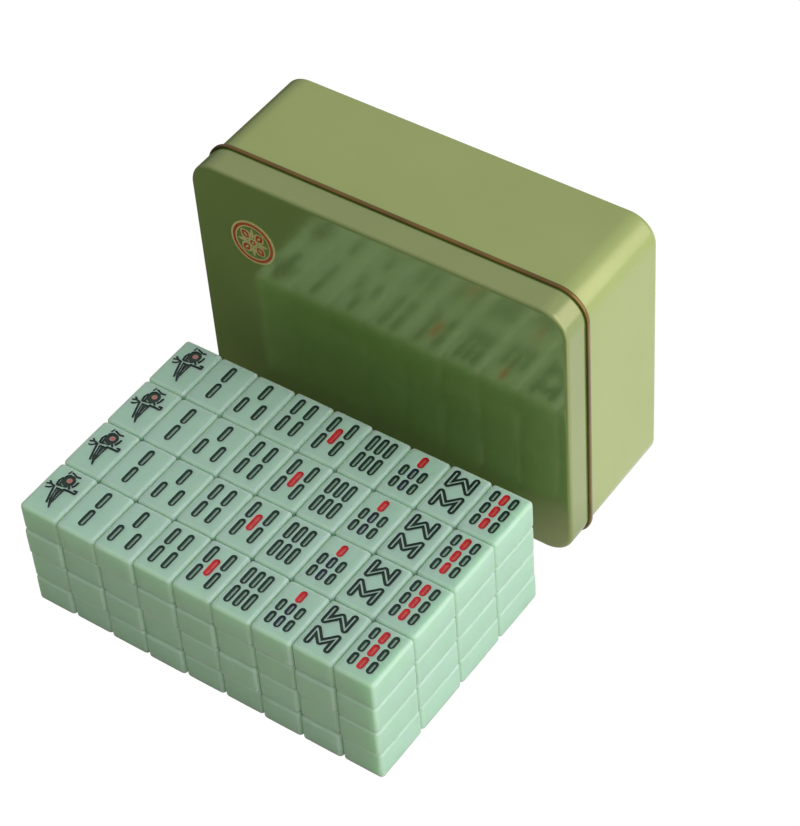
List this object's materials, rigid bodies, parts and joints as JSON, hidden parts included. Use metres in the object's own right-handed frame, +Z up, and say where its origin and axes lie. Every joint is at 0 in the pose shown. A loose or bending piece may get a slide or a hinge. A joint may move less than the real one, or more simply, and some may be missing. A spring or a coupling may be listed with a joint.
{
  "type": "mahjong case",
  "caption": "Travel mahjong set: a slip-lid tin case on its side with its lid on, and its engraved tiles stacked in layers in front of it.",
  "frame": {"origin": "bottom centre of the bounding box: on the table, midway between the front of the stacked tiles and the back of the case, and midway along the case", "axes": "+X along the case's length, +Y from the stacked tiles to the case, +Z up from the table"},
  "size_m": [0.162, 0.1767, 0.122],
  "materials": {
    "green_lacquer": "glossy pale green lacquer on tinplate, gold lacquer inside",
    "tile_resin": "satin pale mint melamine resin, slightly translucent, with engraved and painted faces"
  },
  "bodies": {
    "case_body": {"case_body": "green_lacquer"},
    "lid": {"lid": "green_lacquer"},
    "wind_east": {"wind_east": "tile_resin"},
    "wind_south": {"wind_south": "tile_resin"},
    "wind_west": {"wind_west": "tile_resin"},
    "wind_north": {"wind_north": "tile_resin"},
    "dragon_red": {"dragon_red": "tile_resin"},
    "dragon_green": {"dragon_green": "tile_resin"},
    "dragon_white": {"dragon_white": "tile_resin"},
    "flowers": {"flowers": "tile_resin"},
    "seasons": {"seasons": "tile_resin"},
    "characters_1": {"characters_1": "tile_resin"},
    "characters_2": {"characters_2": "tile_resin"},
    "characters_3": {"characters_3": "tile_resin"},
    "characters_4": {"characters_4": "tile_resin"},
    "characters_5": {"characters_5": "tile_resin"},
    "characters_6": {"characters_6": "tile_resin"},
    "characters_7": {"characters_7": "tile_resin"},
    "characters_8": {"characters_8": "tile_resin"},
    "characters_9": {"characters_9": "tile_resin"},
    "dots_1": {"dots_1": "tile_resin"},
    "dots_2": {"dots_2": "tile_resin"},
    "dots_3": {"dots_3": "tile_resin"},
    "dots_4": {"dots_4": "tile_resin"},
    "dots_5": {"dots_5": "tile_resin"},
    "dots_6": {"dots_6": "tile_resin"},
    "dots_7": {"dots_7": "tile_resin"},
    "dots_8": {"dots_8": "tile_resin"},
    "dots_9": {"dots_9": "tile_resin"},
    "bamboo_1": {"bamboo_1": "tile_resin"},
    "bamboo_2": {"bamboo_2": "tile_resin"},
    "bamboo_3": {"bamboo_3": "tile_resin"},
    "bamboo_4": {"bamboo_4": "tile_resin"},
    "bamboo_5": {"bamboo_5": "tile_resin"},
    "bamboo_6": {"bamboo_6": "tile_resin"},
    "bamboo_7": {"bamboo_7": "tile_resin"},
    "bamboo_8": {"bamboo_8": "tile_resin"},
    "bamboo_9": {"bamboo_9": "tile_resin"}
  },
  "joints": [
    {"name": "lid_slide", "type": "slide", "parent": "case_body", "child": "lid", "axis": [0, -1, 0], "range_m": [0, 0.019]},
    {"name": "lift_wind_east", "type": "slide", "parent": "case_body", "child": "wind_east", "axis": [0, 0, 1], "range_m": [0, 0.03]},
    {"name": "lift_wind_south", "type": "slide", "parent": "case_body", "child": "wind_south", "axis": [0, 0, 1], "range_m": [0, 0.03]},
    {"name": "lift_wind_west", "type": "slide", "parent": "case_body", "child": "wind_west", "axis": [0, 0, 1], "range_m": [0, 0.03]},
    {"name": "lift_wind_north", "type": "slide", "parent": "case_body", "child": "wind_north", "axis": [0, 0, 1], "range_m": [0, 0.03]},
    {"name": "lift_dragon_red", "type": "slide", "parent": "case_body", "child": "dragon_red", "axis": [0, 0, 1], "range_m": [0, 0.03]},
    {"name": "lift_dragon_green", "type": "slide", "parent": "case_body", "child": "dragon_green", "axis": [0, 0, 1], "range_m": [0, 0.03]},
    {"name": "lift_dragon_white", "type": "slide", "parent": "case_body", "child": "dragon_white", "axis": [0, 0, 1], "range_m": [0, 0.03]},
    {"name": "lift_flowers", "type": "slide", "parent": "case_body", "child": "flowers", "axis": [0, 0, 1], "range_m": [0, 0.03]},
    {"name": "lift_seasons", "type": "slide", "parent": "case_body", "child": "seasons", "axis": [0, 0, 1], "range_m": [0, 0.03]},
    {"name": "lift_characters_1", "type": "slide", "parent": "wind_east", "child": "characters_1", "axis": [0, 0, 1], "range_m": [0, 0.03]},
    {"name": "lift_characters_2", "type": "slide", "parent": "wind_south", "child": "characters_2", "axis": [0, 0, 1], "range_m": [0, 0.03]},
    {"name": "lift_characters_3", "type": "slide", "parent": "wind_west", "child": "characters_3", "axis": [0, 0, 1], "range_m": [0, 0.03]},
    {"name": "lift_characters_4", "type": "slide", "parent": "wind_north", "child": "characters_4", "axis": [0, 0, 1], "range_m": [0, 0.03]},
    {"name": "lift_characters_5", "type": "slide", "parent": "dragon_red", "child": "characters_5", "axis": [0, 0, 1], "range_m": [0, 0.03]},
    {"name": "lift_characters_6", "type": "slide", "parent": "dragon_green", "child": "characters_6", "axis": [0, 0, 1], "range_m": [0, 0.03]},
    {"name": "lift_characters_7", "type": "slide", "parent": "dragon_white", "child": "characters_7", "axis": [0, 0, 1], "range_m": [0, 0.03]},
    {"name": "lift_characters_8", "type": "slide", "parent": "flowers", "child": "characters_8", "axis": [0, 0, 1], "range_m": [0, 0.03]},
    {"name": "lift_characters_9", "type": "slide", "parent": "seasons", "child": "characters_9", "axis": [0, 0, 1], "range_m": [0, 0.03]},
    {"name": "lift_dots_1", "type": "slide", "parent": "characters_1", "child": "dots_1", "axis": [0, 0, 1], "range_m": [0, 0.03]},
    {"name": "lift_dots_2", "type": "slide", "parent": "characters_2", "child": "dots_2", "axis": [0, 0, 1], "range_m": [0, 0.03]},
    {"name": "lift_dots_3", "type": "slide", "parent": "characters_3", "child": "dots_3", "axis": [0, 0, 1], "range_m": [0, 0.03]},
    {"name": "lift_dots_4", "type": "slide", "parent": "characters_4", "child": "dots_4", "axis": [0, 0, 1], "range_m": [0, 0.03]},
    {"name": "lift_dots_5", "type": "slide", "parent": "characters_5", "child": "dots_5", "axis": [0, 0, 1], "range_m": [0, 0.03]},
    {"name": "lift_dots_6", "type": "slide", "parent": "characters_6", "child": "dots_6", "axis": [0, 0, 1], "range_m": [0, 0.03]},
    {"name": "lift_dots_7", "type": "slide", "parent": "characters_7", "child": "dots_7", "axis": [0, 0, 1], "range_m": [0, 0.03]},
    {"name": "lift_dots_8", "type": "slide", "parent": "characters_8", "child": "dots_8", "axis": [0, 0, 1], "range_m": [0, 0.03]},
    {"name": "lift_dots_9", "type": "slide", "parent": "characters_9", "child": "dots_9", "axis": [0, 0, 1], "range_m": [0, 0.03]},
    {"name": "lift_bamboo_1", "type": "slide", "parent": "dots_1", "child": "bamboo_1", "axis": [0, 0, 1], "range_m": [0, 0.03]},
    {"name": "lift_bamboo_2", "type": "slide", "parent": "dots_2", "child": "bamboo_2", "axis": [0, 0, 1], "range_m": [0, 0.03]},
    {"name": "lift_bamboo_3", "type": "slide", "parent": "dots_3", "child": "bamboo_3", "axis": [0, 0, 1], "range_m": [0, 0.03]},
    {"name": "lift_bamboo_4", "type": "slide", "parent": "dots_4", "child": "bamboo_4", "axis": [0, 0, 1], "range_m": [0, 0.03]},
    {"name": "lift_bamboo_5", "type": "slide", "parent": "dots_5", "child": "bamboo_5", "axis": [0, 0, 1], "range_m": [0, 0.03]},
    {"name": "lift_bamboo_6", "type": "slide", "parent": "dots_6", "child": "bamboo_6", "axis": [0, 0, 1], "range_m": [0, 0.03]},
    {"name": "lift_bamboo_7", "type": "slide", "parent": "dots_7", "child": "bamboo_7", "axis": [0, 0, 1], "range_m": [0, 0.03]},
    {"name": "lift_bamboo_8", "type": "slide", "parent": "dots_8", "child": "bamboo_8", "axis": [0, 0, 1], "range_m": [0, 0.03]},
    {"name": "lift_bamboo_9", "type": "slide", "parent": "dots_9", "child": "bamboo_9", "axis": [0, 0, 1], "range_m": [0, 0.03]}
  ]
}
